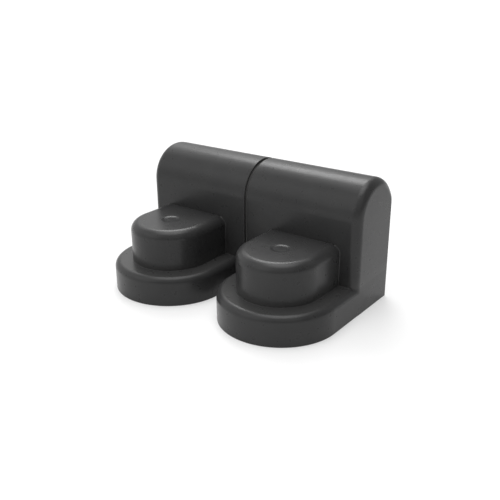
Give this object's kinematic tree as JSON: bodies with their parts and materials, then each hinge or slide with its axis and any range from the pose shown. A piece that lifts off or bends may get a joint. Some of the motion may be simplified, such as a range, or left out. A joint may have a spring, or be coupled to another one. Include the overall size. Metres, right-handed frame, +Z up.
{
  "type": "rubber bump module pair",
  "caption": "Bolt-down black rubber bump: mirrored end modules with a round-topped block, a round-nosed foot and a bolt boss, joined end to end on hidden steel dowels.",
  "frame": {"origin": "middle of the base, on the ground, at the centre of the bounding box", "axes": "+X along the pair towards the right-hand module, -Y towards the feet (the front), +Z up"},
  "size_m": [0.3, 0.1884, 0.151],
  "materials": {
    "body_rubber": "satin moulded black, fine grain",
    "cap_rubber": "satin moulded black",
    "spacer_rubber": "matt black",
    "core_steel": "black primer on hot-rolled plate",
    "bright_steel": "drawn bar and tube, turned ends",
    "zinc_plate": "bright zinc plate",
    "socket_nylon": "natural nylon"
  },
  "bodies": {
    "left_module": {"left_rubber_body": "body_rubber", "left_core_plate": "core_steel", "left_bolt_sleeve": "bright_steel", "left_bolt_washer": "zinc_plate", "left_lower_dowel_socket": "socket_nylon", "left_upper_dowel_socket": "socket_nylon", "lower_dowel": "bright_steel", "lower_spacer_ring": "spacer_rubber", "upper_dowel": "bright_steel", "upper_spacer_ring": "spacer_rubber"},
    "right_module": {"right_rubber_body": "body_rubber", "right_core_plate": "core_steel", "right_bolt_sleeve": "bright_steel", "right_bolt_washer": "zinc_plate", "right_lower_dowel_socket": "socket_nylon", "right_upper_dowel_socket": "socket_nylon"},
    "left_cap": {"left_bolt_cap": "cap_rubber"},
    "right_cap": {"right_bolt_cap": "cap_rubber"}
  },
  "joints": [
    {"name": "right_module_slide", "type": "slide", "parent": "left_module", "child": "right_module", "axis": [1, 0, 0], "range_m": [0, 0.045]},
    {"name": "left_cap_pull", "type": "slide", "parent": "left_module", "child": "left_cap", "axis": [0, 0, 1], "range_m": [0, 0.023]},
    {"name": "right_cap_pull", "type": "slide", "parent": "right_module", "child": "right_cap", "axis": [0, 0, 1], "range_m": [0, 0.023]}
  ]
}
